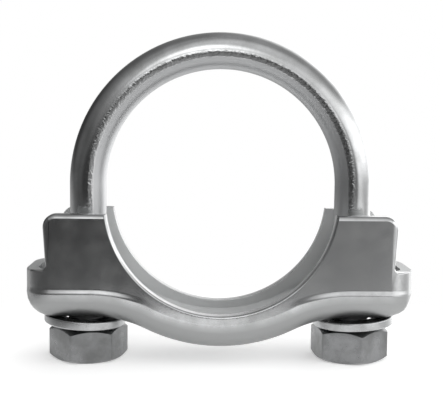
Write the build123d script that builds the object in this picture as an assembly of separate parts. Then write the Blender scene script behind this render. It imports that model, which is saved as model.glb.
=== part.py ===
from build123d import *

import os
from math import asin, atan, cos, degrees, radians, sin, sqrt, tan

# Exhaust clamp: a pressed steel channel saddle, a U-bolt whose legs pass down through it,
# and a washer and a hexagon nut on each leg. Millimetres.
# The origin is on the pipe's axis, at the middle of the saddle's depth.
# +Y runs along the pipe, +X to the right, +Z from the saddle towards the bow.

# Pipe that the clamp closes on
PIPE_DIAMETER = 55.0

# U-bolt
BAR_DIAMETER = 8.9          # rolled-thread blank for an M10 thread
LEG_SPACING = 65.4          # between the two leg axes
CLOSING_TRAVEL = 4.0        # from the pose shown until the bow meets the pipe
BAR_END_CHAMFER = 0.9

# Saddle
SHEET = 2.8                 # thickness of the pressed sheet
SADDLE_DEPTH = 21.6         # over the bends at the foot of both walls, along the pipe
END_REACH = 14.3            # from each leg's axis to the outside of its end cup
BEND_RADIUS = 6.3           # outside of every bend of the pressing
FLANGE_UNDERSIDE = -28.8    # height of the flat under each leg
BELLY_DROP = 7.3            # how far the belly hangs below those flats
BELLY_RADIUS = 41.0         # outside of the belly
BELLY_BLEND_RADIUS = 30.0   # between the belly and each flat
RIM_HEIGHT = -16.8          # top of the low end cups
EAR_TOP = -3.3              # top of the walls beside the legs
EAR_REACH = 8.85            # from each leg's axis to the front ear's side, where it rises from the cup
REAR_EAR_INSET = 1.8        # how much less far the rear ears reach
EAR_DRAFT = 3.5             # degrees that an ear's side leans outwards
EAR_CORNER_RADIUS = 3.3
EAR_ROOT_FILLET = 1.0
EDGE_ROUND = 1.1            # rolled edge left on the outside of each ear by the press
LEG_HOLE_DIAMETER = 11.0

# Washers
WASHER_DIAMETER = 20.0
WASHER_HOLE = 12.0
WASHER_SHIFT = 0.9          # how far each washer has slid outwards on its leg
WASHER_THICKNESS = 2.0
WASHER_EDGE = 0.25          # broken edge of the stamping

# Nuts
NUT_ACROSS_FLATS = 17.0
NUT_HEIGHT = 8.0
NUT_CHAMFER_ANGLE = 30.0    # degrees from the end face
NUT_FACE_RATIO = 0.95       # end circle over the distance across flats
NUT_MOUTH = 0.9             # width of the countersink at each end of the bore
LEFT_NUT_TURN = 10.8        # degrees from +X to the first corner
RIGHT_NUT_TURN = -20.3
END_RECESS = 0.5            # bar end above the nut's lower face

# Clearances
THREAD_CLEARANCE = 0.05     # radial, between the plain bar and the plain bore of a nut
SEAT_CLEARANCE = 0.04       # between pieces that rest on each other

PIPE_RADIUS = PIPE_DIAMETER / 2
BAR_RADIUS = BAR_DIAMETER / 2
LEG_X = LEG_SPACING / 2
HALF_LENGTH = LEG_X + END_REACH
WASHER_RADIUS = WASHER_DIAMETER / 2


# Centres of the belly and of the blend that meets the belly and the flat, both at a tangent
BELLY_Z = FLANGE_UNDERSIDE - BELLY_DROP + BELLY_RADIUS
BLEND_Z = FLANGE_UNDERSIDE - BELLY_BLEND_RADIUS
BLEND_REACH = BELLY_RADIUS + BELLY_BLEND_RADIUS
BLEND_X = sqrt(BLEND_REACH**2 - (BELLY_Z - BLEND_Z) ** 2)
BLEND_ANGLE = asin(BLEND_X / BLEND_REACH)   # radians from vertical to where blend and belly meet


def underside_height(x):
    """Height of the saddle's underside at x, in the middle of its depth."""
    if abs(x) >= BLEND_X:
        return FLANGE_UNDERSIDE
    if abs(x) >= BELLY_RADIUS * sin(BLEND_ANGLE):
        return BLEND_Z + sqrt(BELLY_BLEND_RADIUS**2 - (BLEND_X - abs(x)) ** 2)
    return BELLY_Z - sqrt(BELLY_RADIUS**2 - x**2)


# Each washer bridges from the outer end of its flat to the start of the belly, so it lies a little tilted.
WASHER_X = LEG_X + WASHER_SHIFT
WASHER_INNER_X = WASHER_X - WASHER_RADIUS
FLAT_END_X = HALF_LENGTH - BEND_RADIUS
WASHER_DROP = FLANGE_UNDERSIDE - underside_height(WASHER_INNER_X)
WASHER_SLOPE = WASHER_DROP / (FLAT_END_X - WASHER_INNER_X)
WASHER_TILT = degrees(atan(WASHER_SLOPE))
WASHER_TOP = FLANGE_UNDERSIDE - (FLAT_END_X - WASHER_X) * WASHER_SLOPE - SEAT_CLEARANCE

# Each nut touches its washer on the side towards the pipe, where the tilt brings the washer lowest.
NUT_FACE_RADIUS = NUT_ACROSS_FLATS * NUT_FACE_RATIO / 2
NUT_TOP = (
    WASHER_TOP
    - WASHER_THICKNESS / cos(radians(WASHER_TILT))
    - (WASHER_SHIFT + NUT_FACE_RADIUS) * WASHER_SLOPE
    - SEAT_CLEARANCE
)
NUT_BOTTOM = NUT_TOP - NUT_HEIGHT

# The bow stands open by the closing travel.
BOW_CENTRE_HEIGHT = PIPE_RADIUS + CLOSING_TRAVEL - (LEG_X - BAR_RADIUS)
BAR_END = NUT_BOTTOM + END_RECESS


def pressing_outline(inset):
    """Closed outline of the pressing seen along the pipe, moved inwards by inset."""
    belly_r = BELLY_RADIUS - inset
    blend_r = BELLY_BLEND_RADIUS + inset
    flat_z = FLANGE_UNDERSIDE + inset
    end_x = HALF_LENGTH - inset
    meeting = (belly_r * sin(BLEND_ANGLE), BELLY_Z - belly_r * cos(BLEND_ANGLE))
    half = BLEND_ANGLE / 2
    blend_middle = (BLEND_X - blend_r * sin(half), BLEND_Z + blend_r * cos(half))
    flat_start = (BLEND_X, flat_z)

    def left(point):
        return (-point[0], point[1])

    edges = [
        Line((end_x, EAR_TOP), (end_x, flat_z)),
        Line((end_x, flat_z), flat_start),
        ThreePointArc(flat_start, blend_middle, meeting),
        ThreePointArc(meeting, (0, BELLY_Z - belly_r), left(meeting)),
        ThreePointArc(left(meeting), left(blend_middle), left(flat_start)),
        Line(left(flat_start), (-end_x, flat_z)),
        Line((-end_x, flat_z), (-end_x, EAR_TOP)),
        Line((-end_x, EAR_TOP), (end_x, EAR_TOP)),
    ]
    return make_face(Plane.XZ * Wire(edges))


def rounded_block(inset):
    """Block with the pressing's outside form, moved inwards by inset, with every bend rounded."""
    depth = SADDLE_DEPTH - 2 * inset
    radius = BEND_RADIUS - inset
    block = extrude(pressing_outline(inset), depth / 2, both=True)
    block = fillet(block.edges().filter_by(Axis.Z), radius)
    return fillet(block.edges().filter_by(is_underside_rim), radius)


def is_underside_rim(edge):
    """Whether an edge runs round the underside, and doesn't cross it or stand up from it."""
    box = edge.bounding_box()
    upright_or_lid = box.max.Z > EAR_TOP - EDGE_ROUND
    crosses = box.max.Y - box.min.Y > 1e-3 and box.max.X < FLAT_END_X - SHEET and box.min.X > SHEET - FLAT_END_X
    return not upright_or_lid and not crosses


def ear_outline(root_x):
    """What the pressing keeps of one wall: two ears above the low end cups, root_x from the middle."""
    top_x = root_x + (EAR_TOP - RIM_HEIGHT) * tan(radians(EAR_DRAFT))
    low = FLANGE_UNDERSIDE - BELLY_DROP - SHEET
    far = HALF_LENGTH + SHEET
    points = [
        (-far, low), (-far, RIM_HEIGHT), (-root_x, RIM_HEIGHT), (-top_x, EAR_TOP),
        (top_x, EAR_TOP), (root_x, RIM_HEIGHT), (far, RIM_HEIGHT), (far, low),
    ]
    outline = make_face(Polyline(*points, close=True))
    roots = [v for v in outline.vertices() if abs(abs(v.X) - root_x) < 1e-6]
    outline = fillet(roots, EAR_ROOT_FILLET)
    corners = [v for v in outline.vertices() if abs(abs(v.X) - top_x) < 1e-6]
    outline = fillet(corners, EAR_CORNER_RADIUS)
    return Plane.XZ * outline


def build_saddle():
    """Pressed channel with a pipe seat across its walls and a hole for each leg."""
    shell = rounded_block(0) - rounded_block(SHEET)
    front = extrude(ear_outline(LEG_X + EAR_REACH), SADDLE_DEPTH)
    rear = extrude(ear_outline(LEG_X + EAR_REACH - REAR_EAR_INSET), -SADDLE_DEPTH)
    saddle = shell & (front + rear)
    saddle = fillet(outer_ear_edges(saddle), EDGE_ROUND)
    saddle -= Rot(90, 0, 0) * Cylinder(PIPE_RADIUS, SADDLE_DEPTH * 2)
    for side in (-1, 1):
        hole = Pos(side * LEG_X, 0, FLANGE_UNDERSIDE) * Cylinder(LEG_HOLE_DIAMETER / 2, SHEET * 4)
        saddle -= hole
    return saddle


def outer_ear_edges(saddle):
    """Edges of the two outside faces along each ear's top, corner and side."""
    face_y = SADDLE_DEPTH / 2
    edges = []
    for edge in saddle.edges():
        box = edge.bounding_box()
        on_face = abs(abs(box.min.Y) - face_y) < 1e-4 and abs(box.max.Y - box.min.Y) < 1e-4
        if on_face and box.min.Z > RIM_HEIGHT + EAR_ROOT_FILLET - 0.2:
            edges.append(edge)
    return edges


def build_u_bolt():
    """Bar bent to a half circle over two straight legs with chamfered ends."""
    section = Pos(LEG_X, 0, 0) * Circle(BAR_RADIUS)
    bar = Pos(0, 0, BOW_CENTRE_HEIGHT) * revolve(section, Axis((0, 0, 0), (0, -1, 0)), 180)
    leg_length = BOW_CENTRE_HEIGHT - BAR_END
    for side in (-1, 1):
        bar += Pos(side * LEG_X, 0, BAR_END + leg_length / 2) * Cylinder(BAR_RADIUS, leg_length)
    ends = [e for e in bar.edges() if abs(e.bounding_box().max.Z - BAR_END) < 1e-4]
    return chamfer(ends, BAR_END_CHAMFER)


def build_washer(side):
    """Flat round washer on the leg at the given side, tilted to lie on the saddle's underside."""
    ring = Cylinder(WASHER_RADIUS, WASHER_THICKNESS) - Cylinder(WASHER_HOLE / 2, WASHER_THICKNESS * 2)
    rims = ring.edges().filter_by(GeomType.CIRCLE).group_by(SortBy.RADIUS)[-1]
    ring = chamfer(rims, WASHER_EDGE)
    middle = WASHER_TOP - WASHER_THICKNESS / 2 / cos(radians(WASHER_TILT))
    return Pos(side * WASHER_X, 0, middle) * Rot(0, -side * WASHER_TILT, 0) * ring


def build_nut(side, turn):
    """Plain hexagon nut, chamfered at both ends, with a countersunk bore."""
    corner_radius = NUT_ACROSS_FLATS / 2 / cos(radians(30))
    hexagon = extrude(RegularPolygon(corner_radius, 6), NUT_HEIGHT / 2, both=True)
    half = NUT_HEIGHT / 2
    shoulder = half - (corner_radius - NUT_FACE_RADIUS) * tan(radians(NUT_CHAMFER_ANGLE))
    turned = Polyline(
        (0, -half), (NUT_FACE_RADIUS, -half), (corner_radius, -shoulder),
        (corner_radius, shoulder), (NUT_FACE_RADIUS, half), (0, half), close=True,
    )
    nut = hexagon & revolve(make_face(Plane.XZ * turned), Axis.Z, 360)
    bore = BAR_RADIUS + THREAD_CLEARANCE
    nut -= Cylinder(bore, NUT_HEIGHT * 2)
    mouths = nut.edges().filter_by(GeomType.CIRCLE).filter_by(lambda e: abs(e.radius - bore) < 1e-4)
    nut = chamfer(mouths, NUT_MOUTH)
    return Pos(side * LEG_X, 0, NUT_BOTTOM + half) * Rot(0, 0, turn) * nut


parts = {
    "saddle": build_saddle(),
    "u_bolt": build_u_bolt(),
    "left_washer": build_washer(-1),
    "right_washer": build_washer(1),
    "left_nut": build_nut(-1, LEFT_NUT_TURN),
    "right_nut": build_nut(1, RIGHT_NUT_TURN),
}

os.makedirs("parts", exist_ok=True)
for name, shape in parts.items():
    export_step(shape, f"parts/{name}.step")
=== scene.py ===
"""Exhaust clamp: a pressed saddle, a U-bolt, two washers and two nuts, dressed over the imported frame.

Pieces are modelled in millimetres and brought to metres at the end, so the operators work well above
their smallest tolerances. The origin is on the pipe's axis, +Y runs along the pipe and +Z up to the bow.
"""
import logging
import math
from dataclasses import dataclass
from enum import Enum
from typing import Any, Callable, Iterable

import bmesh
import bpy
from mathutils import Euler, Matrix, Vector


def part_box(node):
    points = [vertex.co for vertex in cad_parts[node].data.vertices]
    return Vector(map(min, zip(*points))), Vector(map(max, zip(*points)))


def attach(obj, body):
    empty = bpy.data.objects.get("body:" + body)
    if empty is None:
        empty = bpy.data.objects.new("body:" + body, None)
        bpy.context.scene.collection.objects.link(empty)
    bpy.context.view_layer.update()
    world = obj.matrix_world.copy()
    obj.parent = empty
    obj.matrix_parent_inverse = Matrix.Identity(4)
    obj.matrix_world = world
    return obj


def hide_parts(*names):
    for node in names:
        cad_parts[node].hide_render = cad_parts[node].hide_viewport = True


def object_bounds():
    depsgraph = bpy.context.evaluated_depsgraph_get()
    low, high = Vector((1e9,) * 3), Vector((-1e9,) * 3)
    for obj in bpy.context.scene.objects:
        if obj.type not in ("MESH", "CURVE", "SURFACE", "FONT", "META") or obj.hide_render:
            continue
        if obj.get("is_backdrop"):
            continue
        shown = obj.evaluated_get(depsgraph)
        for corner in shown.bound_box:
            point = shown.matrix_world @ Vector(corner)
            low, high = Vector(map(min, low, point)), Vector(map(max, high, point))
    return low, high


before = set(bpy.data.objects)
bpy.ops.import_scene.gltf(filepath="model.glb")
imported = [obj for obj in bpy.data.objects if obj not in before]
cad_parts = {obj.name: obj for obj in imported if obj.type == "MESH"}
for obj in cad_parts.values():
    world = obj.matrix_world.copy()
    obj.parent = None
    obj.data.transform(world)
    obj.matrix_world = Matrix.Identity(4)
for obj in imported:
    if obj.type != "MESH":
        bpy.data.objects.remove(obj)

log = logging.getLogger("exhaust_clamp")

MM = 0.001
NEAR = 0.02         # mm, how close a point must be to a plane to count as on it
WELD = 0.002        # mm, points nearer than this become one
FINE_WELD = 0.0005  # mm, the same where an operator has left short edges that must stay


class Side(Enum):
    """The two legs of the clamp, seen from the camera."""

    LEFT = -1
    RIGHT = 1


class Cut(Enum):
    """What a second mesh does to a piece."""

    KEEP = "INTERSECT"
    REMOVE = "DIFFERENCE"
    JOIN = "UNION"


class Zone(Enum):
    """Part of a piece with its own roughness and a colour of painted light or painted shade."""

    NONE = "none"
    CHANNEL = "inside of the channel"
    BEND = "inside of the bend"


NUT_TURNS = {Side.LEFT: 10.8, Side.RIGHT: -20.3}    # degrees from +X to a corner, as each nut stands


def node_box(node: str) -> tuple[Vector, Vector]:
    """Give the box of a CAD node.

    Args:
        node: name of the CAD node.

    Returns:
        The lowest and the highest corner, in millimetres.
    """
    low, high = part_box(node)
    return Vector(low) / MM, Vector(high) / MM


def deselect_all() -> None:
    """Leave object mode clean, with nothing selected."""
    if bpy.context.object is not None and bpy.context.object.mode != "OBJECT":
        bpy.ops.object.mode_set(mode="OBJECT")
    bpy.ops.object.select_all(action="DESELECT")


class Workpiece:
    """One mesh on the bench, in millimetres, shaped with the mesh operators."""

    def __init__(self, name: str) -> None:
        """Take over the primitive that was just added.

        Args:
            name: name of the piece.
        """
        self.obj = bpy.context.object
        self.obj.name = name
        self.obj.data.name = name

    @classmethod
    def block(cls, name: str, low: Iterable[float], high: Iterable[float]) -> "Workpiece":
        """Add a block between two corners.

        Args:
            name: name of the piece.
            low: lowest corner.
            high: highest corner.

        Returns:
            The new piece.
        """
        low, high = Vector(low), Vector(high)
        deselect_all()
        bpy.ops.mesh.primitive_cube_add(size=1, location=(low + high) / 2, scale=high - low)
        piece = cls(name)
        piece.settle()
        return piece

    @classmethod
    def drum(
        cls,
        name: str,
        radius: float,
        low: float,
        high: float,
        sides: int = 96,
        turn: tuple[float, float, float] = (0, 0, 0),
    ) -> "Workpiece":
        """Add a closed drum on the Z axis, turned about the origin afterwards.

        Args:
            name: name of the piece.
            radius: its radius.
            low: height of its lower end.
            high: height of its upper end.
            sides: number of flat sides.
            turn: turn about X, Y and Z in degrees.

        Returns:
            The new piece.
        """
        deselect_all()
        bpy.ops.mesh.primitive_cylinder_add(
            vertices=sides, radius=radius, depth=high - low, location=(0, 0, (low + high) / 2)
        )
        piece = cls(name)
        piece.settle()
        piece.place(turn=turn)
        return piece

    def activate(self) -> None:
        """Make this piece the only selected one."""
        deselect_all()
        self.obj.select_set(True)
        bpy.context.view_layer.objects.active = self.obj

    def settle(self) -> None:
        """Move the object's place, turn and scale into its mesh."""
        self.activate()
        bpy.ops.object.transform_apply(location=True, rotation=True, scale=True)

    def place(
        self,
        move: tuple[float, float, float] = (0, 0, 0),
        turn: tuple[float, float, float] = (0, 0, 0),
        scale: float = 1.0,
    ) -> None:
        """Turn the piece about the origin, scale it and move it, all in its mesh.

        Args:
            move: shift after the turn.
            turn: turn about X, Y and Z in degrees.
            scale: factor on every size.
        """
        self.obj.rotation_euler = Euler([math.radians(angle) for angle in turn])
        self.obj.scale = (scale, scale, scale)
        self.obj.location = move
        self.settle()

    def edit(self, mode: str) -> None:
        """Enter edit mode with nothing selected.

        Args:
            mode: VERT, EDGE or FACE.
        """
        self.activate()
        bpy.ops.object.mode_set(mode="EDIT")
        bpy.ops.mesh.select_mode(type=mode)
        bpy.ops.mesh.select_all(action="DESELECT")

    def leave(self) -> None:
        """Leave edit mode."""
        bpy.ops.object.mode_set(mode="OBJECT")

    def weigh(self, width: Callable[[bmesh.types.BMEdge], float]) -> None:
        """Store on each edge how wide its bevel is to be.

        Args:
            width: gives the width of an edge, in millimetres.
        """
        mesh = bmesh.new()
        mesh.from_mesh(self.obj.data)
        layer = mesh.edges.layers.float.new("bevel_weight_edge")
        for edge in mesh.edges:
            edge[layer] = width(edge)
        mesh.to_mesh(self.obj.data)
        mesh.free()

    def pick(self, kind: str, test: Callable[[Any], bool]) -> None:
        """Select what passes a test in edit mode, and nothing else.

        Args:
            kind: verts, edges or faces.
            test: takes one vertex, edge or face and says whether it is wanted.
        """
        mode = {"verts": "VERT", "edges": "EDGE", "faces": "FACE"}[kind]
        bpy.ops.mesh.select_mode(type=mode)
        bpy.ops.mesh.select_all(action="DESELECT")
        mesh = bmesh.from_edit_mesh(self.obj.data)
        mesh.normal_update()
        for part in [part for part in getattr(mesh, kind) if test(part)]:
            part.select_set(True)
        mesh.select_flush_mode()
        bmesh.update_edit_mesh(self.obj.data)

    def modify(self, kind: str, **settings: Any) -> None:
        """Add a modifier, set it and apply it.

        Args:
            kind: type of the modifier.
            settings: its settings by name.
        """
        self.activate()
        modifier = self.obj.modifiers.new(kind.title(), kind)
        for name, value in settings.items():
            setattr(modifier, name, value)
        bpy.ops.object.modifier_apply(modifier=modifier.name)

    def cut(self, tool: "Workpiece", how: Cut) -> None:
        """Combine the piece with a second closed mesh, which is used up.

        Args:
            tool: the second mesh.
            how: what it does.
        """
        self.modify("BOOLEAN", object=tool.obj, operation=how.value, solver="EXACT")
        bpy.data.objects.remove(tool.obj)

    def tidy(self, distance: float = WELD) -> None:
        """Merge doubled points and turn every face outwards.

        Args:
            distance: points nearer than this become one.
        """
        self.edit("VERT")
        bpy.ops.mesh.select_all(action="SELECT")
        bpy.ops.mesh.remove_doubles(threshold=distance)
        bpy.ops.mesh.normals_make_consistent(inside=False)
        self.leave()

    def twin(self, name: str) -> "Workpiece":
        """Copy the piece with a mesh of its own.

        Args:
            name: name of the copy.

        Returns:
            The copy.
        """
        self.activate()
        bpy.ops.object.duplicate(linked=False)
        return Workpiece(name)

    def smooth(self, angle: float = 32.0) -> None:
        """Shade the piece smooth, up to an angle between faces.

        Args:
            angle: sharper meetings than this stay hard, in degrees.
        """
        self.activate()
        bpy.ops.object.shade_smooth_by_angle(angle=math.radians(angle))

    def to_metres(self) -> bpy.types.Object:
        """Bring the finished piece from millimetres to metres, and give its object."""
        self.place(scale=MM)
        return self.obj


def screw_rod(name: str, crest: float, root: float, pitch: float, low: float, high: float) -> Workpiece:
    """Model a closed right-hand screw on the Z axis.

    The thread passes through the X axis's side at every whole pitch below the origin, so a bar and a nut
    made from two such rods mesh with each other.

    Args:
        name: name of the piece.
        crest: radius over the crests.
        root: radius in the grooves.
        pitch: rise in one turn.
        low: a height that the thread begins below.
        high: a height that the thread ends above.

    Returns:
        The screw, with rough ends that a later cut takes off.
    """
    facets = 48
    start = math.floor(low / pitch - 1) * pitch
    turns = math.ceil((high - start) / pitch) + 1
    flat = pitch / 8
    flank = (pitch - 2 * flat) / 2
    depth = crest - root
    deselect_all()
    bpy.ops.mesh.primitive_plane_add(size=1, location=(root, 0, start))
    rod = Workpiece(name)
    rod.settle()
    rod.edit("VERT")
    rod.pick("verts", lambda v: True)
    bpy.ops.mesh.merge(type="CENTER")
    for step in ((depth, 0, flank), (0, 0, flat), (-depth, 0, flank), (0, 0, flat)):
        bpy.ops.mesh.extrude_region_move(TRANSFORM_OT_translate={"value": step})
    rod.leave()
    rod.modify(
        "SCREW", axis="Z", angle=math.tau, screw_offset=pitch, iterations=turns,
        steps=facets, render_steps=facets, use_merge_vertices=True, merge_threshold=WELD / 20,
    )
    rod.edit("EDGE")
    rod.pick("verts", lambda v: True)
    bpy.ops.mesh.remove_doubles(threshold=WELD / 2)
    middle = start + turns * pitch / 2
    for lower_end in (True, False):
        rod.pick("edges", lambda e: e.is_boundary and (e.verts[0].co.z < middle) == lower_end)
        bpy.ops.mesh.edge_face_add()
    rod.pick("faces", lambda f: True)
    bpy.ops.mesh.normals_make_consistent(inside=False)
    rod.leave()
    return rod


@dataclass
class Saddle:
    """Pressed steel channel: two walls with the pipe seat, a belly, and a low cup at each end."""

    sheet: float = 2.8              # thickness of the pressed sheet
    bend_radius: float = 6.3        # outside of every bend
    bend_steps: int = 6             # flats in each bend
    flat_height: float = -28.8      # underside of the flat round each leg
    belly_drop: float = 7.3         # how far the belly hangs below those flats
    belly_radius: float = 41.0
    blend_radius: float = 30.0      # between the belly and each flat
    rim_height: float = -16.8       # top of the end cups
    ear_reach: float = 8.85         # from each leg's axis to the front ear's side, at its root
    rear_ear_inset: float = 1.8     # how much less far the rear ears reach
    ear_draft: float = 3.5          # degrees that an ear's side leans outwards
    ear_corner_radius: float = 3.3
    ear_root_fillet: float = 1.0
    edge_round: float = 1.1         # rolled edge along the top of each ear
    side_edge: float = 0.7          # the same down an ear's side
    side_edge_start: float = 0.3    # height over the rim where that begins to widen
    side_edge_run: float = 2.5      # and over how much more height it does
    rim_edge: float = 0.35          # along the rim of the cups
    seat_edge: float = 0.55         # along the pipe seat
    cut_edge: float = 0.2           # broken edge everywhere inside
    pipe_radius: float = 27.5
    leg_hole_radius: float = 5.5
    drill_heights: tuple[float, float] = (-50.0, -15.0)     # that each hole is drilled between
    wall_step: float = 0.3          # how far each wall stands in from the bend at its foot
    fold_start: float = 15.0        # from here outwards the walls begin to stand in
    fold_full: float = 27.0
    # Rows of points round the foot of the walls: height over the underside, and share of the wall's step.
    fold_rows: tuple[tuple[float, float], ...] = ((6.5, 0.0), (6.95, 0.28), (7.4, 0.78), (7.9, 1.0))
    column_count: int = 26          # divisions from the middle to the end of each blend
    outer_column: float = 36.5      # one more, past each leg hole
    leg_x: float = 32.7

    def __post_init__(self) -> None:
        """Read the outer sizes from the CAD node."""
        self.low, self.high = node_box("saddle")
        self.half_length = self.high.x
        self.half_depth = self.high.y
        self.ear_top = self.high.z
        belly_z = self.flat_height - self.belly_drop + self.belly_radius
        blend_z = self.flat_height - self.blend_radius
        reach = self.belly_radius + self.blend_radius
        self.belly_z, self.blend_z = belly_z, blend_z
        self.blend_x = math.sqrt(reach**2 - (belly_z - blend_z) ** 2)
        self.meeting_x = self.belly_radius * self.blend_x / reach

    def underside(self, x: float) -> float:
        """Give the height of the underside.

        Args:
            x: place along the saddle.

        Returns:
            The height there, in the middle of the depth.
        """
        x = abs(x)
        if x >= self.blend_x:
            return self.flat_height
        if x >= self.meeting_x:
            return self.blend_z + math.sqrt(self.blend_radius**2 - (self.blend_x - x) ** 2)
        return self.belly_z - math.sqrt(self.belly_radius**2 - x**2)

    def slope(self, x: float) -> float:
        """Give the angle of the underside from level at x, in radians."""
        step = 0.01
        return math.atan((self.underside(x + step) - self.underside(x - step)) / (2 * step))

    def wall_inset(self, x: float) -> float:
        """Give how far the walls stand in from the bends at x: nothing under the pipe, all at the ears."""
        share = min(1.0, max(0.0, (abs(x) - self.fold_start) / (self.fold_full - self.fold_start)))
        return self.wall_step * share * share * (3 - 2 * share)

    def columns(self) -> list[float]:
        """Divide the block.

        Returns:
            The places along the saddle where it is divided.
        """
        half = [self.blend_x * index / self.column_count for index in range(1, self.column_count + 1)]
        half.append(self.outer_column)
        return sorted([-x for x in half] + [0.0] + half)

    def divided_block(self) -> Workpiece:
        """Model the block that the pressing's outside comes from, with its belly drawn down.

        Returns:
            The block, open at the top, with four rows of points round the foot of its walls.
        """
        block = Workpiece.block(
            "saddle_pressing",
            (-self.half_length, -self.half_depth, self.flat_height),
            (self.half_length, self.half_depth, self.ear_top),
        )
        block.edit("FACE")
        for x in self.columns():
            bpy.ops.mesh.select_all(action="SELECT")
            bpy.ops.mesh.bisect(plane_co=(x, 0, 0), plane_no=(1, 0, 0))
        for height, _ in self.fold_rows:
            bpy.ops.mesh.select_all(action="SELECT")
            bpy.ops.mesh.bisect(plane_co=(0, 0, self.flat_height + height), plane_no=(0, 0, 1))
        block.pick("faces", lambda f: f.normal.z > 0.9)
        bpy.ops.mesh.delete(type="FACE")
        levels = [(self.flat_height + height, share) for height, share in self.fold_rows]
        levels.append((self.ear_top, 1.0))
        for x in [-self.half_length] + self.columns() + [self.half_length]:
            inset = self.wall_inset(x)
            for level, share in levels:
                for side in (-1, 1):
                    if inset * share == 0:
                        continue
                    foot = Vector((x, side * self.half_depth, level))
                    block.pick("verts", lambda v: (v.co - foot).length < NEAR)
                    bpy.ops.transform.translate(value=(0, -side * inset * share, 0))
        for x in self.columns():
            drop = self.underside(x) - self.flat_height
            if abs(drop) < WELD / 20:
                continue
            lean = 1 / math.cos(self.slope(x)) - 1
            for height in [0.0] + [row[0] for row in self.fold_rows]:
                level = self.flat_height + height
                block.pick("verts", lambda v: abs(v.co.x - x) < NEAR and abs(v.co.z - level) < NEAR)
                bpy.ops.transform.translate(value=(0, 0, drop + height * lean))
        block.leave()
        return block

    def is_bend(self, edge: bmesh.types.BMEdge) -> bool:
        """Say whether an edge of the block becomes one of the pressing's bends.

        Args:
            edge: an edge of the block.

        Returns:
            True up an outer corner, along the foot of a wall and across the foot of an end.
        """
        a, b = (v.co for v in edge.verts)
        ends = [abs(abs(p.x) - self.half_length) < NEAR for p in (a, b)]
        sides = [abs(p.y) > self.half_depth - self.wall_step - NEAR for p in (a, b)]
        under = [abs(p.z - self.underside(p.x)) < NEAR for p in (a, b)]
        same_wall = a.y * b.y > 0
        upright = all(ends) and all(sides) and same_wall and abs(a.z - b.z) > NEAR
        along_wall = all(under) and all(sides) and same_wall
        across_end = all(under) and all(ends) and a.x * b.x > 0
        return upright or along_wall or across_end

    def kept_outline(self, way: int) -> Workpiece:
        """Model the prism that trims one wall to two ears above its low end cups.

        Args:
            way: -1 for the front wall, 1 for the rear one.

        Returns:
            The prism, which ends in the middle of the depth.
        """
        root_x = self.leg_x + self.ear_reach - (self.rear_ear_inset if way > 0 else 0)
        rise = self.ear_top - self.rim_height
        lean = rise * math.tan(math.radians(self.ear_draft))
        past = Vector((60, 20, 45))     # mm, its sides lie clear of the pressing
        near, far = sorted((0, way * past.y))
        prism = Workpiece.block("saddle_outline", (-past.x, near, -past.z), (past.x, far, self.rim_height))
        prism.edit("FACE")
        for side in (-1, 1):
            bpy.ops.mesh.select_all(action="SELECT")
            bpy.ops.mesh.bisect(plane_co=(side * root_x, 0, 0), plane_no=(1, 0, 0))
        prism.pick("faces", lambda f: f.normal.z > 0.9 and abs(f.calc_center_median().x) < root_x)
        bpy.ops.mesh.extrude_region_move(TRANSFORM_OT_translate={"value": (0, 0, rise)})
        for side in (-1, 1):
            prism.pick("verts", lambda v: v.co.z > self.rim_height + 1 and v.co.x * side > 0)
            bpy.ops.transform.translate(value=(side * lean, 0, 0))
        prism.pick("edges", lambda e: self.is_outline_corner(e, root_x, self.rim_height))
        bpy.ops.mesh.bevel(offset=self.ear_root_fillet, segments=6, clamp_overlap=False)
        prism.pick("edges", lambda e: self.is_outline_corner(e, root_x + lean, self.ear_top))
        bpy.ops.mesh.bevel(offset=self.ear_corner_radius, segments=12, clamp_overlap=False)
        prism.leave()
        return prism

    def is_outline_corner(self, edge: bmesh.types.BMEdge, x: float, z: float) -> bool:
        """Say whether an edge runs along the pipe at one corner of the outline."""
        return all(abs(abs(v.co.x) - x) < NEAR and abs(v.co.z - z) < NEAR for v in edge.verts)

    def edge_rounding(self, edge: bmesh.types.BMEdge) -> float:
        """Give how far an edge of the trimmed pressing is rounded.

        Args:
            edge: an edge of the mesh.

        Returns:
            The width of its rounding: wide on the outside of an ear, small under the pipe's seat, and nothing
            inside the ends or on a smooth edge.
        """
        smooth_angle = math.radians(40)
        if len(edge.link_faces) != 2 or edge.calc_face_angle(0) < smooth_angle:
            return 0.0
        a, b = (v.co for v in edge.verts)
        middle = (a + b) / 2
        if not all(self.is_outside(point) for point in (a, b)):
            return self.cut_edge if abs(middle.x) < self.leg_x else 0.0
        if all(math.hypot(point.x, point.z) < self.pipe_radius + NEAR for point in (a, b)):
            return self.seat_edge
        over_rim = middle.z - self.rim_height - self.side_edge_start
        under_top = self.ear_top - middle.z
        rise = min(1.0, max(0.0, over_rim / self.side_edge_run))
        crown = min(1.0, max(0.0, 1 - under_top / self.ear_corner_radius))
        side = self.rim_edge + (self.side_edge - self.rim_edge) * rise
        return side + (self.edge_round - self.side_edge) * crown

    def is_outside(self, point: Vector) -> bool:
        """Say whether a point lies on the outer skin of the walls.

        Args:
            point: a point of the pressing.

        Returns:
            True on the outside of a wall, an end or the corner between them.
        """
        corner_play = 0.1       # mm, how far the flats of a rounded corner lie inside its true circle
        across = abs(point.y) - (self.half_depth - self.bend_radius)
        along = abs(point.x) - (self.half_length - self.bend_radius)
        wall = self.bend_radius - self.wall_step
        if along > 0 and across > 0:
            return math.hypot(along, across) > wall - corner_play
        return across > wall - NEAR or along > self.bend_radius - NEAR

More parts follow.
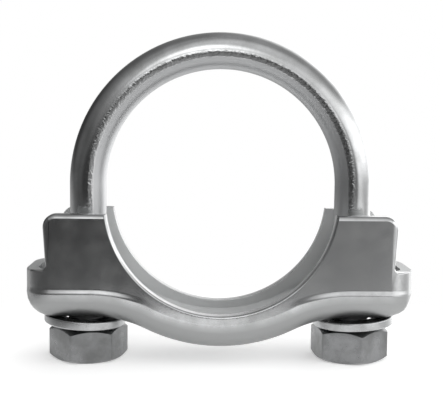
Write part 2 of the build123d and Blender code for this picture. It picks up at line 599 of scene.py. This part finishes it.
    def build(self) -> bpy.types.Object:
        """Model the pressing.

        Returns:
            The finished mesh object in metres.
        """
        pressing = self.divided_block()
        pressing.edit("EDGE")
        pressing.pick("edges", self.is_bend)
        bpy.ops.mesh.bevel(offset=self.bend_radius, segments=self.bend_steps, clamp_overlap=False)
        pressing.leave()
        pressing.tidy()
        pressing.modify("SOLIDIFY", thickness=self.sheet, offset=-1, use_even_offset=True, use_rim=True)
        outline = self.kept_outline(-1)
        outline.cut(self.kept_outline(1), Cut.JOIN)
        pressing.cut(outline, Cut.KEEP)
        past = 30.0     # mm, the pipe's drum runs out before and behind
        pipe = Workpiece.drum("pipe_seat", self.pipe_radius, -past, past, sides=256, turn=(90, 0, 0))
        pressing.cut(pipe, Cut.REMOVE)
        for side in Side:
            hole = Workpiece.drum("leg_hole", self.leg_hole_radius, *self.drill_heights, sides=72)
            hole.place(move=(side.value * self.leg_x, 0, 0))
            pressing.cut(hole, Cut.REMOVE)
        pressing.tidy()
        pressing.weigh(self.edge_rounding)
        pressing.modify(
            "BEVEL", width=1.0, segments=5, limit_method="WEIGHT", use_clamp_overlap=False,
            miter_outer="MITER_SHARP", loop_slide=True,
        )
        pressing.tidy(FINE_WELD)
        pressing.smooth(angle=38)
        pressing.modify("WEIGHTED_NORMAL", keep_sharp=True)
        return pressing.to_metres()


@dataclass
class UBolt:
    """Bar bent to a half circle over two straight legs, with a rolled thread on each."""

    pitch: float = 1.5
    crest: float = 4.93
    root: float = 4.08
    end_chamfer: float = 0.9
    thread_top: float = -10.0
    neck: float = 1.0               # the bar narrows to the grooves over this height, inside the thread
    sides: int = 64
    bow_steps: int = 128

    def __post_init__(self) -> None:
        """Read the bar's sizes from the CAD node."""
        self.low, self.high = node_box("u_bolt")
        self.bar_radius = self.high.y
        self.leg_x = self.high.x - self.bar_radius
        self.bow_height = self.high.z - self.leg_x - self.bar_radius
        self.end = self.low.z

    def build_bar(self) -> bpy.types.Object:
        """Bend the plain bar: a ring spun through half a turn, with both legs drawn down.

        Returns:
            The finished mesh object in metres.
        """
        deselect_all()
        bpy.ops.mesh.primitive_circle_add(
            vertices=self.sides, radius=self.bar_radius, location=(self.leg_x, 0, self.bow_height)
        )
        bar = Workpiece("u_bolt_bar")
        bar.settle()
        bar.edit("VERT")
        bpy.ops.mesh.select_all(action="SELECT")
        centre = (0, 0, self.bow_height)
        bpy.ops.mesh.spin(steps=self.bow_steps, angle=math.pi, center=centre, axis=(0, 1, 0))
        bar.pick("edges", lambda e: e.is_boundary)
        leg = (0, 0, self.thread_top - self.bow_height)
        bpy.ops.mesh.extrude_region_move(TRANSFORM_OT_translate={"value": leg})
        shrink = self.root / self.bar_radius
        for side in Side:
            bar.pick("verts", lambda v: abs(v.co.z - self.thread_top) < NEAR and v.co.x * side.value > 0)
            bpy.ops.mesh.extrude_region_move(TRANSFORM_OT_translate={"value": (0, 0, -self.neck)})
            axis = (side.value * self.leg_x, 0, self.thread_top - self.neck)
            bpy.ops.transform.resize(value=(shrink, shrink, 1), center_override=axis)
            bpy.ops.mesh.edge_face_add()
        bar.leave()
        bar.tidy()
        bar.smooth(angle=40)
        return bar.to_metres()

    def build_threads(self) -> list[bpy.types.Object]:
        """Roll the two threads, from inside the saddle to the chamfered ends.

        Returns:
            The left and the right thread in metres.
        """
        spare = 0.3     # mm, how far the blank stands clear of the crests
        chamfer = self.end_chamfer + spare
        rod = screw_rod("u_bolt_thread", self.crest, self.root, self.pitch, self.end, self.thread_top)
        blank = Workpiece.drum("thread_blank", self.crest + spare, self.end, self.thread_top)
        blank.edit("FACE")
        blank.pick("faces", lambda f: f.normal.z < -0.9)
        bpy.ops.mesh.inset(thickness=chamfer)
        blank.leave()
        blank.edit("VERT")
        blank.pick("verts", lambda v: math.hypot(v.co.x, v.co.y) > self.crest and v.co.z < self.end + NEAR)
        bpy.ops.transform.translate(value=(0, 0, chamfer))
        blank.leave()
        rod.cut(blank, Cut.KEEP)
        rod.tidy(FINE_WELD)
        rod.smooth(angle=25)
        threads = []
        for side in Side:
            thread = rod.twin(f"{side.name.lower()}_thread")
            thread.place(move=(side.value * self.leg_x, 0, 0))
            threads.append(thread.to_metres())
        bpy.data.objects.remove(rod.obj)
        return threads


@dataclass
class Washer:
    """Punched flat washer, lying a little tilted between the saddle and its nut."""

    side: Side
    radius: float = 10.0
    hole_radius: float = 6.0
    thickness: float = 2.0
    tilt: float = 3.415             # degrees
    edge: float = 0.3

    @property
    def node(self) -> str:
        """Name of the CAD node."""
        return f"{self.side.name.lower()}_washer"

    def build(self) -> bpy.types.Object:
        """Punch the ring and break its edges.

        Returns:
            The finished mesh object in metres.
        """
        half = self.thickness / 2
        low, high = node_box(self.node)
        ring = Workpiece.drum(f"{self.node}_ring", self.radius, -half, half, sides=128)
        ring.edit("FACE")
        ring.pick("faces", lambda f: abs(f.normal.z) > 0.9)
        bpy.ops.mesh.inset(thickness=self.radius - self.hole_radius)
        bpy.ops.mesh.bridge_edge_loops()
        ring.leave()
        ring.edit("EDGE")
        ring.pick("edges", lambda e: self.is_rim(e, self.radius))
        bpy.ops.mesh.bevel(offset=self.edge, segments=4)
        ring.pick("edges", lambda e: self.is_rim(e, self.hole_radius))
        bpy.ops.mesh.bevel(offset=self.edge / 2, segments=2)
        ring.leave()
        ring.tidy()
        ring.smooth(angle=40)
        ring.modify("WEIGHTED_NORMAL", keep_sharp=True)
        ring.place(
            move=((low.x + high.x) / 2, 0, (low.z + high.z) / 2),
            turn=(0, -self.side.value * self.tilt, 0),
        )
        return ring.to_metres()

    def is_rim(self, edge: bmesh.types.BMEdge, radius: float) -> bool:
        """Say whether an edge runs round an end of the ring at the given radius."""
        level = abs(edge.verts[0].co.z - edge.verts[1].co.z) < NEAR
        return level and all(abs(math.hypot(v.co.x, v.co.y) - radius) < NEAR for v in edge.verts)


@dataclass
class Nut:
    """Hexagon nut, chamfered at both ends, with a real thread in its bore."""

    side: Side
    leg_x: float
    turn: float                     # degrees from +X to a corner
    across_flats: float = 17.0
    face_ratio: float = 0.95        # end circle over the distance across flats
    chamfer_angle: float = 30.0     # degrees from the end face
    thread_clearance: float = 0.06
    mouth_step: float = 0.15        # how much wider the bore opens than its thread
    edge: float = 0.4               # how far each of the six corners is rounded

    @property
    def node(self) -> str:
        """Name of the CAD node."""
        return f"{self.side.name.lower()}_nut"

    @property
    def corner(self) -> float:
        """Distance from the axis to a corner of the hexagon."""
        return self.across_flats / 2 / math.cos(math.pi / 6)

    def chamfered_drum(self, low: float, high: float) -> Workpiece:
        """Model the drum whose sloping ends cut the corners of the hexagon.

        Its slopes run on past the nut's faces, so that the cut never meets two faces in one plane.

        Args:
            low: height of the lower face.
            high: height of the upper face.

        Returns:
            The drum.
        """
        face = self.across_flats * self.face_ratio / 2
        slope = math.tan(math.radians(self.chamfer_angle))
        rise = (self.corner - face) * slope
        past = 0.5      # mm
        drum = Workpiece.drum("nut_chamfer", self.corner, low + rise, high - rise, sides=192)
        for way in (-1, 1):
            drum.edit("FACE")
            drum.pick("faces", lambda f: f.normal.z * way > 0.9)
            bpy.ops.mesh.extrude_region_move(TRANSFORM_OT_translate={"value": (0, 0, way * (rise + past))})
            ratio = (face - past / slope) / self.corner
            bpy.ops.transform.resize(value=(ratio, ratio, 1), center_override=(0, 0, 0))
            drum.leave()
        return drum

    def build(self, bolt: UBolt) -> bpy.types.Object:
        """Forge the hexagon, break its edges and cut the thread.

        Args:
            bolt: the bar whose thread the nut fits.

        Returns:
            The finished mesh object in metres.
        """
        low, high = node_box(self.node)
        nut = Workpiece.drum(f"{self.node}_body", self.corner, low.z, high.z, sides=6)
        nut.place(turn=(0, 0, self.turn - self.first_corner(nut)))
        nut.edit("EDGE")
        nut.pick("edges", lambda e: abs(e.verts[0].co.z - e.verts[1].co.z) > NEAR)
        bpy.ops.mesh.bevel(offset=self.edge, segments=4, clamp_overlap=False)
        nut.leave()
        nut.cut(self.chamfered_drum(low.z, high.z), Cut.KEEP)
        nut.tidy()
        crest = bolt.crest + self.thread_clearance
        mouth = crest + self.mouth_step
        half = 1.0      # mm, the sink's cone ends this far above and below the nut's face
        for way, level in ((-1, low.z), (1, high.z)):
            sink = Workpiece.drum("nut_mouth", mouth + half, level - half, level + half)
            sink.edit("FACE")
            sink.pick("faces", lambda f: f.normal.z * way < -0.9)
            ratio = (mouth - half) / (mouth + half)
            bpy.ops.transform.resize(value=(ratio, ratio, 1), center_override=(0, 0, 0))
            sink.leave()
            sink.tidy()
            nut.cut(sink, Cut.REMOVE)
        root = bolt.root + self.thread_clearance
        nut.cut(screw_rod("nut_thread", crest, root, bolt.pitch, low.z, high.z), Cut.REMOVE)
        nut.tidy(FINE_WELD)
        nut.smooth(angle=30)
        nut.place(move=(self.side.value * self.leg_x, 0, 0))
        return nut.to_metres()

    def first_corner(self, nut: Workpiece) -> float:
        """Give the angle of one corner of the fresh hexagon, in degrees."""
        corner = nut.obj.data.vertices[0].co
        return math.degrees(math.atan2(corner.y, corner.x))


def to_linear(colour: str) -> tuple[float, float, float, float]:
    """Turn an sRGB hex colour to the linear values that nodes take.

    Args:
        colour: such as "#C6C8CA".

    Returns:
        Red, green, blue and an alpha of 1.
    """
    channels = [int(colour[i : i + 2], 16) / 255 for i in (1, 3, 5)]
    linear = [c / 12.92 if c <= 0.04045 else ((c + 0.055) / 1.055) ** 2.4 for c in channels]
    return (*linear, 1.0)


def add_node(
    tree: bpy.types.NodeTree, kind: str, sockets: dict[str | int, Any] | None = None, **settings: str
) -> bpy.types.Node:
    """Add a node with its settings and links.

    Args:
        tree: the node tree it goes into.
        kind: its type, without the words that begin every shader node's.
        sockets: inputs by name or number, each a value or the output that feeds it.
        settings: properties of the node by name.

    Returns:
        The new node.
    """
    node = tree.nodes.new("ShaderNode" + kind)
    for name, value in settings.items():
        setattr(node, name, value)
    for key, value in (sockets or {}).items():
        if isinstance(value, bpy.types.NodeSocket):
            tree.links.new(value, node.inputs[key])
        else:
            node.inputs[key].default_value = value
    return node


def fresh_material(name: str) -> tuple[bpy.types.Material, bpy.types.NodeTree, bpy.types.Node]:
    """Make a material with nothing but its output.

    Args:
        name: name of the material.

    Returns:
        The material, its node tree and its output node.
    """
    material = bpy.data.materials.new(name)
    material.use_nodes = True
    tree = material.node_tree
    tree.nodes.clear()
    return material, tree, add_node(tree, "OutputMaterial")


Socket = bpy.types.NodeSocket
Surface = tuple[Any, Any]       # colour and roughness, each a value or the socket that feeds it


@dataclass(frozen=True)
class ZincPlate:
    """Bright electroplated zinc on steel: a neutral grey mirror made satin by the steel's own grain.

    The eye sees soft-edged reflections that break into fine specks where light meets dark.
    """

    name: str
    slot: str
    colour: str = "#C8C9CA"         # clean plate
    dull_colour: str = "#B2B3B3"    # where the plate is passivated a little thicker
    mottle_mm: float = 5.0          # width of the cloudy patches
    patch_start: float = 0.35       # value of the clouds' noise where a patch begins
    patch_full: float = 0.68        # and where it is whole
    smooth: float = 0.17            # roughness of the cleanest plate
    rough: float = 0.28             # roughness of the dullest plate
    grain_mm: float = 0.45          # width of the specks; real ones are near 0.1 mm, too fine to show
    grain_height: float = 0.004     # mm
    wave_mm: float = 9.0            # width of the low swells that forming leaves
    wave_height: float = 0.012      # mm
    stretch: tuple[float, float, float] = (1.0, 1.0, 1.0)   # below 1 draws the grain out along that axis
    zone: Zone = Zone.NONE
    zone_depth: float = 0.0         # mm; where the zone ends
    zone_height: float = 0.0        # mm; height of the middle of a bow
    zone_fade: float = 0.6          # mm; over which it ends
    zone_rough: float = 0.72
    # colour of the zone: painted light in the channel, painted shade inside the bow
    painted_zone_colour: str = "#E2E3E3"
    # darker colour where the piece faces down: painted shade
    under_shade_colour: str | None = None     # where the piece faces down
    under_rough: float = 0.42
    under_facing: tuple[float, float] = (-0.32, -0.02)  # upward part of a face's direction, where that fades
    floor_facing: tuple[float, float] = (-0.5, -0.1)    # the same where the floor of a channel begins
    pitted_edge: float = 0.0        # how much deeper than the grain a narrow band round the zone is pitted
    pitted_middle: float = 0.9      # mm; from the zone's end to the middle of that band
    pitted_half: float = 1.2        # mm; half the band's width
    pit_mm: float = 0.9             # width of the pits; real ones are near 0.2 mm, too fine to show

    def build(self) -> bpy.types.Material:
        """Make the material from noise in the piece's own millimetres.

        Returns:
            The finished material.
        """
        material, tree, output = fresh_material(self.name)
        place = add_node(tree, "TexCoord").outputs["Object"]
        drawn = add_node(tree, "VectorMath", {0: place, 1: self.stretch}, operation="MULTIPLY").outputs[0]
        clouds, grain, waves = (
            add_node(
                tree, "TexNoise",
                {"Vector": vector, "Scale": 1 / (width * MM), "Detail": detail, "Roughness": roughness},
            ).outputs["Fac"]
            for vector, width, detail, roughness in (
                (place, self.mottle_mm, 4.0, 0.6),
                (drawn, self.grain_mm, 2.0, 0.55),
                (drawn, self.wave_mm, 1.0, 0.4),
            )
        )
        dullness = add_node(
            tree, "MapRange", {"Value": clouds, "From Min": self.patch_start, "From Max": self.patch_full}
        ).outputs["Result"]
        clean = (to_linear(self.colour), self.smooth)
        surface = self.blend(tree, dullness, clean, (to_linear(self.dull_colour), self.rough))
        # The zone's colour is painted light in the channel and painted shade inside the bow.
        if self.zone is not Zone.NONE:
            depth = self.zone_measure(tree, place)
            zone = (to_linear(self.painted_zone_colour), self.zone_rough)
            surface = self.blend(tree, self.zone_mask(tree, depth), surface, zone)
            if self.pitted_edge:
                grain = self.pitted(tree, place, depth, grain)
        # Painted shade: a darker colour where the piece faces down.
        if self.under_shade_colour:
            under = (to_linear(self.under_shade_colour), self.under_rough)
            surface = self.blend(tree, self.facing_mask(tree, *self.under_facing), under, surface)
        shape = {}
        for height, reach in ((waves, self.wave_height), (grain, self.grain_height)):
            bump = add_node(tree, "Bump", {"Height": height, "Distance": reach * MM, "Strength": 1, **shape})
            shape = {"Normal": bump.outputs["Normal"]}
        shader = add_node(
            tree, "BsdfPrincipled",
            {"Base Color": surface[0], "Metallic": 1.0, "Roughness": surface[1], **shape},
        )
        tree.links.new(shader.outputs["BSDF"], output.inputs["Surface"])
        return material

    def blend(self, tree: bpy.types.NodeTree, share: Socket, first: Surface, second: Surface) -> Surface:
        """Pass from one surface to another where a mask rises.

        Args:
            tree: the material's node tree.
            share: the mask.
            first: the surface where it is 0.
            second: the surface where it is 1.

        Returns:
            The surface everywhere.
        """
        colour = add_node(tree, "Mix", {0: share, 6: first[0], 7: second[0]}, data_type="RGBA")
        rough = add_node(tree, "Mix", {0: share, 2: first[1], 3: second[1]}, data_type="FLOAT")
        return colour.outputs[2], rough.outputs[0]

    def pitted(self, tree: bpy.types.NodeTree, place: Socket, depth: Socket, grain: Socket) -> Socket:
        """Add coarse pitting to the grain, in a band round the zone.

        Args:
            tree: the material's node tree.
            place: the point in object coordinates.
            depth: what the zone's end is measured by, in metres.
            grain: height of the grain.

        Returns:
            The height of both.
        """
        middle = (self.zone_depth + self.pitted_middle) * MM
        offset = add_node(tree, "Math", {0: depth, 1: middle}, operation="SUBTRACT").outputs[0]
        offset = add_node(tree, "Math", {0: offset}, operation="ABSOLUTE").outputs[0]
        band = add_node(
            tree, "MapRange",
            {
                "Value": offset, "From Min": self.pitted_half * MM / 3, "From Max": self.pitted_half * MM,
                "To Min": self.pitted_edge, "To Max": 0.0,
            },
            interpolation_type="SMOOTHSTEP",
        ).outputs["Result"]
        pits = add_node(
            tree, "TexNoise",
            {"Vector": place, "Scale": 1 / (self.pit_mm * MM), "Detail": 2.0, "Roughness": 0.6},
        ).outputs["Fac"]
        pits = add_node(tree, "Math", {0: pits, 1: band}, operation="MULTIPLY").outputs[0]
        return add_node(tree, "Math", {0: grain, 1: pits}, operation="ADD").outputs[0]

    def facing_mask(self, tree: bpy.types.NodeTree, low: float, high: float) -> Socket:
        """Rise from 0 to 1 as a face turns upwards.

        Args:
            tree: the material's node tree.
            low: upward part of the face's direction where the mask leaves 0.
            high: where it reaches 1.

        Returns:
            The mask.
        """
        normal = add_node(tree, "TexCoord").outputs["Normal"]
        facing = add_node(tree, "SeparateXYZ", {0: normal}).outputs["Z"]
        return add_node(
            tree, "MapRange",
            {"Value": facing, "From Min": low, "From Max": high},
            interpolation_type="SMOOTHSTEP",
        ).outputs["Result"]

    def zone_measure(self, tree: bpy.types.NodeTree, place: Socket) -> Socket:
        """Measure how far a point lies from the middle of the channel or of the bow.

        Args:
            tree: the material's node tree.
            place: the point in object coordinates.

        Returns:
            The distance in metres.
        """
        x, y, z = add_node(tree, "SeparateXYZ", {0: place}).outputs
        if self.zone is Zone.CHANNEL:
            return add_node(tree, "Math", {0: y}, operation="ABSOLUTE").outputs[0]
        middle = self.zone_height * MM
        height = add_node(tree, "Math", {0: z, 1: middle}, operation="SUBTRACT").outputs[0]
        height = add_node(tree, "Math", {0: height, 1: 0.0}, operation="MAXIMUM").outputs[0]
        flat = add_node(tree, "CombineXYZ", {0: x, 2: height}).outputs[0]
        return add_node(tree, "VectorMath", {0: flat}, operation="LENGTH").outputs["Value"]

    def zone_mask(self, tree: bpy.types.NodeTree, depth: Socket) -> Socket:
        """Mark the zone of the piece that has its own roughness and a colour of painted light or painted
        shade.

        Args:
            tree: the material's node tree.
            depth: distance from the middle, in metres.

        Returns:
            1 in the zone, 0 elsewhere.
        """
        within = add_node(
            tree, "MapRange",
            {
                "Value": depth, "From Min": self.zone_depth * MM,
                "From Max": (self.zone_depth + self.zone_fade) * MM, "To Min": 1.0, "To Max": 0.0,
            },
            interpolation_type="SMOOTHSTEP",
        ).outputs["Result"]
        if self.zone is Zone.BEND:
            return within
        upward = self.facing_mask(tree, *self.floor_facing)
        return add_node(tree, "Math", {0: within, 1: upward}, operation="MULTIPLY").outputs[0]

    def dress(self, piece: bpy.types.Object) -> None:
        """Give the finish to a piece.

        Args:
            piece: the finished mesh object.
        """
        material = bpy.data.materials.get(self.name) or self.build()
        piece.data.materials.clear()
        piece.data.materials.append(material)


# Deep-drawn sheet: low swells from the press; a rougher channel inside, painted paler as painted light; and a
# rougher belly, painted greyer as painted shade where it faces down.
PRESSED_SHEET = ZincPlate(
    "zinc_plated_pressed_sheet", "pressed_steel", smooth=0.16, rough=0.26, wave_mm=11.0, wave_height=0.02,
    zone=Zone.CHANNEL, zone_depth=7.75, under_shade_colour="#A0A1A1",
)
# Cold-drawn bar: smooth and bright, with fine pitting that sparkles at the edge of each reflection. The
# inside of the bow and legs is rougher, and painted darker as painted shade.
DRAWN_BAR = ZincPlate(
    "zinc_plated_drawn_bar", "bar_steel", smooth=0.1, rough=0.18, grain_height=0.006,
    stretch=(1.0, 1.0, 0.6), zone=Zone.BEND, zone_depth=30.7, zone_height=3.25, zone_rough=0.42,
    painted_zone_colour="#B4B5B6", pitted_edge=20.0,
)
# Rolled thread: rougher than the bar, and painted darker as painted shade for the gap above the washers.
ROLLED_THREAD = ZincPlate(
    "zinc_plated_rolled_thread", "bar_steel", colour="#ACADAE", dull_colour="#939494", smooth=0.55, rough=0.7
)
# Punched washer: flat faces from the strip, tumbled edges.
PUNCHED_WASHER = ZincPlate(
    "zinc_plated_punched_washer", "washer_steel", colour="#BDBEBF", dull_colour="#A5A6A6", smooth=0.2,
    rough=0.32,
)
# Cold-forged nut: plainer, with soft die marks on its flats; its darker colour is painted shade.
FORGED_NUT = ZincPlate(
    "zinc_plated_forged_nut", "nut_steel", colour="#898A8B", dull_colour="#727373", smooth=0.24, rough=0.36
)


@dataclass(frozen=True)
class Card:
    """One soft-edged panel hung inside the light tent."""

    azimuth: float          # degrees from the camera's side towards the right
    elevation: float
    half_width: float
    half_height: float
    softness: float         # 0 is a hard edge, 1 fades over the whole panel
    level: float            # brightness, where 1 is white


@dataclass(frozen=True)
class LightTent:
    """Round tent of soft panels that lights the clamp and gives its metal something to mirror."""

    radius: float = 0.9
    level: float = 0.4
    cards: tuple[Card, ...] = (
        Card(14.6, -54.4, 129.0, 51.4, 0.2, 0.55),      # pale sheet underneath
        Card(190.6, -12.9, 102.0, 45.0, 0.94, 1.09),    # white sweep behind
        Card(-38.4, -3.5, 50.6, 46.5, 0.77, 0.14),      # dim room round the camera
        Card(-12.0, -4.5, 24.0, 8.0, 0.6, 0.05),        # its dark floor, left of the camera
        Card(-125.0, 12.9, 60.9, 56.7, 0.87, 0.06),     # dark side on the left
        Card(31.9, 5.5, 23.3, 10.8, 0.95, 1.54),        # spill from the window
        Card(10.5, 40.9, 49.6, 29.5, 0.52, 0.85),       # pale ceiling over the camera
        Card(72.2, 15.2, 36.4, 11.2, 0.95, 2.53),       # window on the right
        Card(141.0, 6.8, 28.0, 29.6, 0.87, 2.29),       # second window, right and behind
        Card(48.8, -15.6, 20.1, 8.2, 0.83, 1.38),       # its light on the table
        Card(-3.0, 22.1, 9.5, 11.0, 0.9, 2.5),          # narrow lamp above the camera
        Card(-47.1, 78.2, 23.9, 36.7, 0.91, 0.41),      # duller ceiling overhead
        Card(-133.1, -25.1, 39.9, 23.5, 0.52, 0.52),    # sheet on the left
        Card(15.0, -5.0, 13.0, 6.5, 0.7, 0.2),          # dark floor, right of the camera
    )

    def build(self) -> None:
        """Hang the tent round the clamp, unseen by the camera."""
        deselect_all()
        bpy.ops.mesh.primitive_uv_sphere_add(segments=96, ring_count=48, radius=self.radius)
        tent = bpy.context.object
        tent.name = "light_tent"
        tent.visible_camera = False
        tent.data.materials.append(self.cloth())
        tent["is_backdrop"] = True

    def cloth(self) -> bpy.types.Material:
        """Make the glowing cloth, with each card laid over those before it.

        Returns:
            The material.
        """
        material, tree, output = fresh_material("tent_cloth")
        place = add_node(tree, "TexCoord").outputs["Object"]
        x, y, z = add_node(tree, "SeparateXYZ", {0: place}).outputs
        forward = add_node(tree, "Math", {0: y, 1: -1.0}, operation="MULTIPLY").outputs[0]
        turn = add_node(tree, "Math", {0: x, 1: forward}, operation="ARCTAN2").outputs[0]
        rise = add_node(tree, "Math", {0: z, 1: self.radius}, operation="DIVIDE").outputs[0]
        height = add_node(tree, "Math", {0: rise}, operation="ARCSINE").outputs[0]
        light = self.level
        for card in self.cards:
            light = self.lay_card(tree, card, turn, height, light)
        glow = add_node(tree, "Emission", {"Strength": light})
        tree.links.new(glow.outputs[0], output.inputs["Surface"])
        return material

    def lay_card(
        self, tree: bpy.types.NodeTree, card: Card, turn: Socket, height: Socket, below: Socket | float
    ) -> Socket:
        """Lay one card over the light so far.

        Args:
            tree: the cloth's node tree.
            card: the panel.
            turn: azimuth of the point, in radians.
            height: its elevation, in radians.
            below: the light under the card.

        Returns:
            The light with the card over it.
        """
        across, up = (
            add_node(tree, "Math", {0: angle, 1: math.radians(middle)}, operation="SUBTRACT").outputs[0]
            for angle, middle in ((turn, card.azimuth), (height, card.elevation))
        )
        across = add_node(tree, "Math", {0: across, 1: math.pi, 2: -math.pi}, operation="WRAP").outputs[0]
        across, up = (
            add_node(tree, "Math", {0: offset, 1: math.radians(half)}, operation="DIVIDE").outputs[0]
            for offset, half in ((across, card.half_width), (up, card.half_height))
        )
        offset = add_node(tree, "CombineXYZ", {0: across, 1: up}).outputs[0]
        distance = add_node(tree, "VectorMath", {0: offset}, operation="LENGTH").outputs["Value"]
        cover = add_node(
            tree, "MapRange",
            {
                "Value": distance, "From Min": 1 - card.softness, "From Max": 1 + card.softness,
                "To Min": 1.0, "To Max": 0.0,
            },
            interpolation_type="SMOOTHSTEP",
        ).outputs["Result"]
        return add_node(tree, "Mix", {0: cover, 2: below, 3: card.level}, data_type="FLOAT").outputs[0]


@dataclass(frozen=True)
class WhiteSheet:
    """Round sheet of white paper that the nuts stand on, feathered out at its rim."""

    height: float               # m
    radius: float = 0.09
    full_radius: float = 0.055  # m, inside this the paper is whole
    colour: str = "#F4F4F4"
    backlight: float = 0.38     # lifts the paper to white for the camera and for the metal

    def build(self) -> None:
        """Lay the sheet."""
        deselect_all()
        bpy.ops.mesh.primitive_circle_add(
            vertices=96, radius=self.radius, fill_type="NGON", location=(0, 0, self.height)
        )
        sheet = bpy.context.object
        sheet.name = "white_sheet"
        sheet.data.materials.append(self.paper())
        sheet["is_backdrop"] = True

    def paper(self) -> bpy.types.Material:
        """Make the paper: matt white that keeps the shadow, lifted to white where nothing shades it.

        Returns:
            The material.
        """
        material, tree, output = fresh_material("white_paper")
        path = add_node(tree, "LightPath").outputs
        seen = path["Is Camera Ray"]
        for ray in ("Is Glossy Ray", "Is Transmission Ray"):
            seen = add_node(tree, "Math", {0: seen, 1: path[ray]}, operation="MAXIMUM").outputs[0]
        lift = add_node(tree, "Math", {0: seen, 1: self.backlight}, operation="MULTIPLY")
        glow = add_node(tree, "Emission", {"Strength": lift.outputs[0]})
        matt = add_node(tree, "BsdfDiffuse", {"Color": to_linear(self.colour)})
        lit = add_node(tree, "AddShader", {0: matt.outputs[0], 1: glow.outputs[0]})
        place = add_node(tree, "TexCoord").outputs["Object"]
        distance = add_node(tree, "VectorMath", {0: place}, operation="LENGTH").outputs["Value"]
        thin = add_node(
            tree, "MapRange",
            {"Value": distance, "From Min": self.full_radius, "From Max": self.radius},
            interpolation_type="SMOOTHSTEP",
        ).outputs["Result"]
        clear = add_node(tree, "BsdfTransparent")
        sheet = add_node(tree, "MixShader", {0: thin, 1: lit.outputs[0], 2: clear.outputs[0]})
        tree.links.new(sheet.outputs[0], output.inputs["Surface"])
        return material


@dataclass(frozen=True)
class PhotoCamera:
    """Camera at the photograph's place, as fitted to the clamp's own known forms."""

    position: tuple[float, float, float] = (-5.27, -202.3, 18.8)    # mm
    pan: float = -1.54          # degrees
    dip: float = 5.47
    roll: float = 0.65
    focal_pixels: float = 820.3
    image_width: int = 443

    def build(self) -> None:
        """Set up the camera and make it the scene's own."""
        sensor = 36.0
        data = bpy.data.cameras.new("photo_camera")
        data.sensor_width = sensor
        data.lens = self.focal_pixels * sensor / self.image_width
        data.clip_start = 0.01
        camera = bpy.data.objects.new("photo_camera", data)
        turn = (
            Matrix.Rotation(math.radians(self.pan), 4, "Z")
            @ Matrix.Rotation(math.radians(90 - self.dip), 4, "X")
            @ Matrix.Rotation(math.radians(self.roll), 4, "Z")
        )
        camera.matrix_world = Matrix.Translation(Vector(self.position) * MM) @ turn
        bpy.context.collection.objects.link(camera)
        bpy.context.scene.camera = camera


@dataclass(frozen=True)
class TopLight:
    """Soft light over the tent's sheet, which the metal doesn't mirror."""

    height: float = 0.6         # m
    size: float = 1.1           # m across
    power: float = 2.2          # W

    def build(self) -> None:
        """Hang the light."""
        data = bpy.data.lights.new("top_light", "AREA")
        data.shape = "DISK"
        data.size = self.size
        data.energy = self.power
        light = bpy.data.objects.new("top_light", data)
        light.location = (0, 0, self.height)
        light.visible_glossy = False
        light.visible_camera = False
        bpy.context.collection.objects.link(light)


def light_studio() -> None:
    """Put the clamp in its tent, on its sheet, in front of plain white."""
    gap = 0.00002       # m, so that the sheet and the nuts' faces don't lie in one plane
    world = bpy.data.worlds.new("white_backdrop")
    world.use_nodes = True
    background = world.node_tree.nodes["Background"]
    background.inputs["Color"].default_value = (1, 1, 1, 1)
    background.inputs["Strength"].default_value = 1.0
    bpy.context.scene.world = world
    bpy.context.scene.view_settings.view_transform = "Standard"
    WhiteSheet(height=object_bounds()[0].z - gap).build()
    LightTent().build()
    TopLight().build()


def mount(piece: bpy.types.Object, body: str, finish: ZincPlate, node: str | None = None) -> None:
    """Dress a finished piece and hang it on its body.

    Args:
        piece: the mesh object, in metres.
        body: the CAD body it rides on.
        finish: its finish.
        node: the CAD node it stands for, if any.
    """
    finish.dress(piece)
    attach(piece, body)
    if node is not None:
        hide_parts(node)
    log.info("%s: %d faces", piece.name, len(piece.data.polygons))


def main() -> None:
    """Build, dress and light the clamp, and report each piece."""
    logging.basicConfig(level=logging.INFO, format="%(message)s")
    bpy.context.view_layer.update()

    bolt = UBolt()
    mount(bolt.build_bar(), "u_bolt", DRAWN_BAR, "u_bolt")
    for thread in bolt.build_threads():
        mount(thread, "u_bolt", ROLLED_THREAD)
    mount(Saddle(leg_x=bolt.leg_x).build(), "saddle", PRESSED_SHEET, "saddle")
    for side in Side:
        washer = Washer(side)
        mount(washer.build(), washer.node, PUNCHED_WASHER, washer.node)
        nut = Nut(side, bolt.leg_x, NUT_TURNS[side])
        mount(nut.build(bolt), nut.node, FORGED_NUT, nut.node)

    light_studio()
    PhotoCamera().build()


if __name__ == "__main__":
    main()
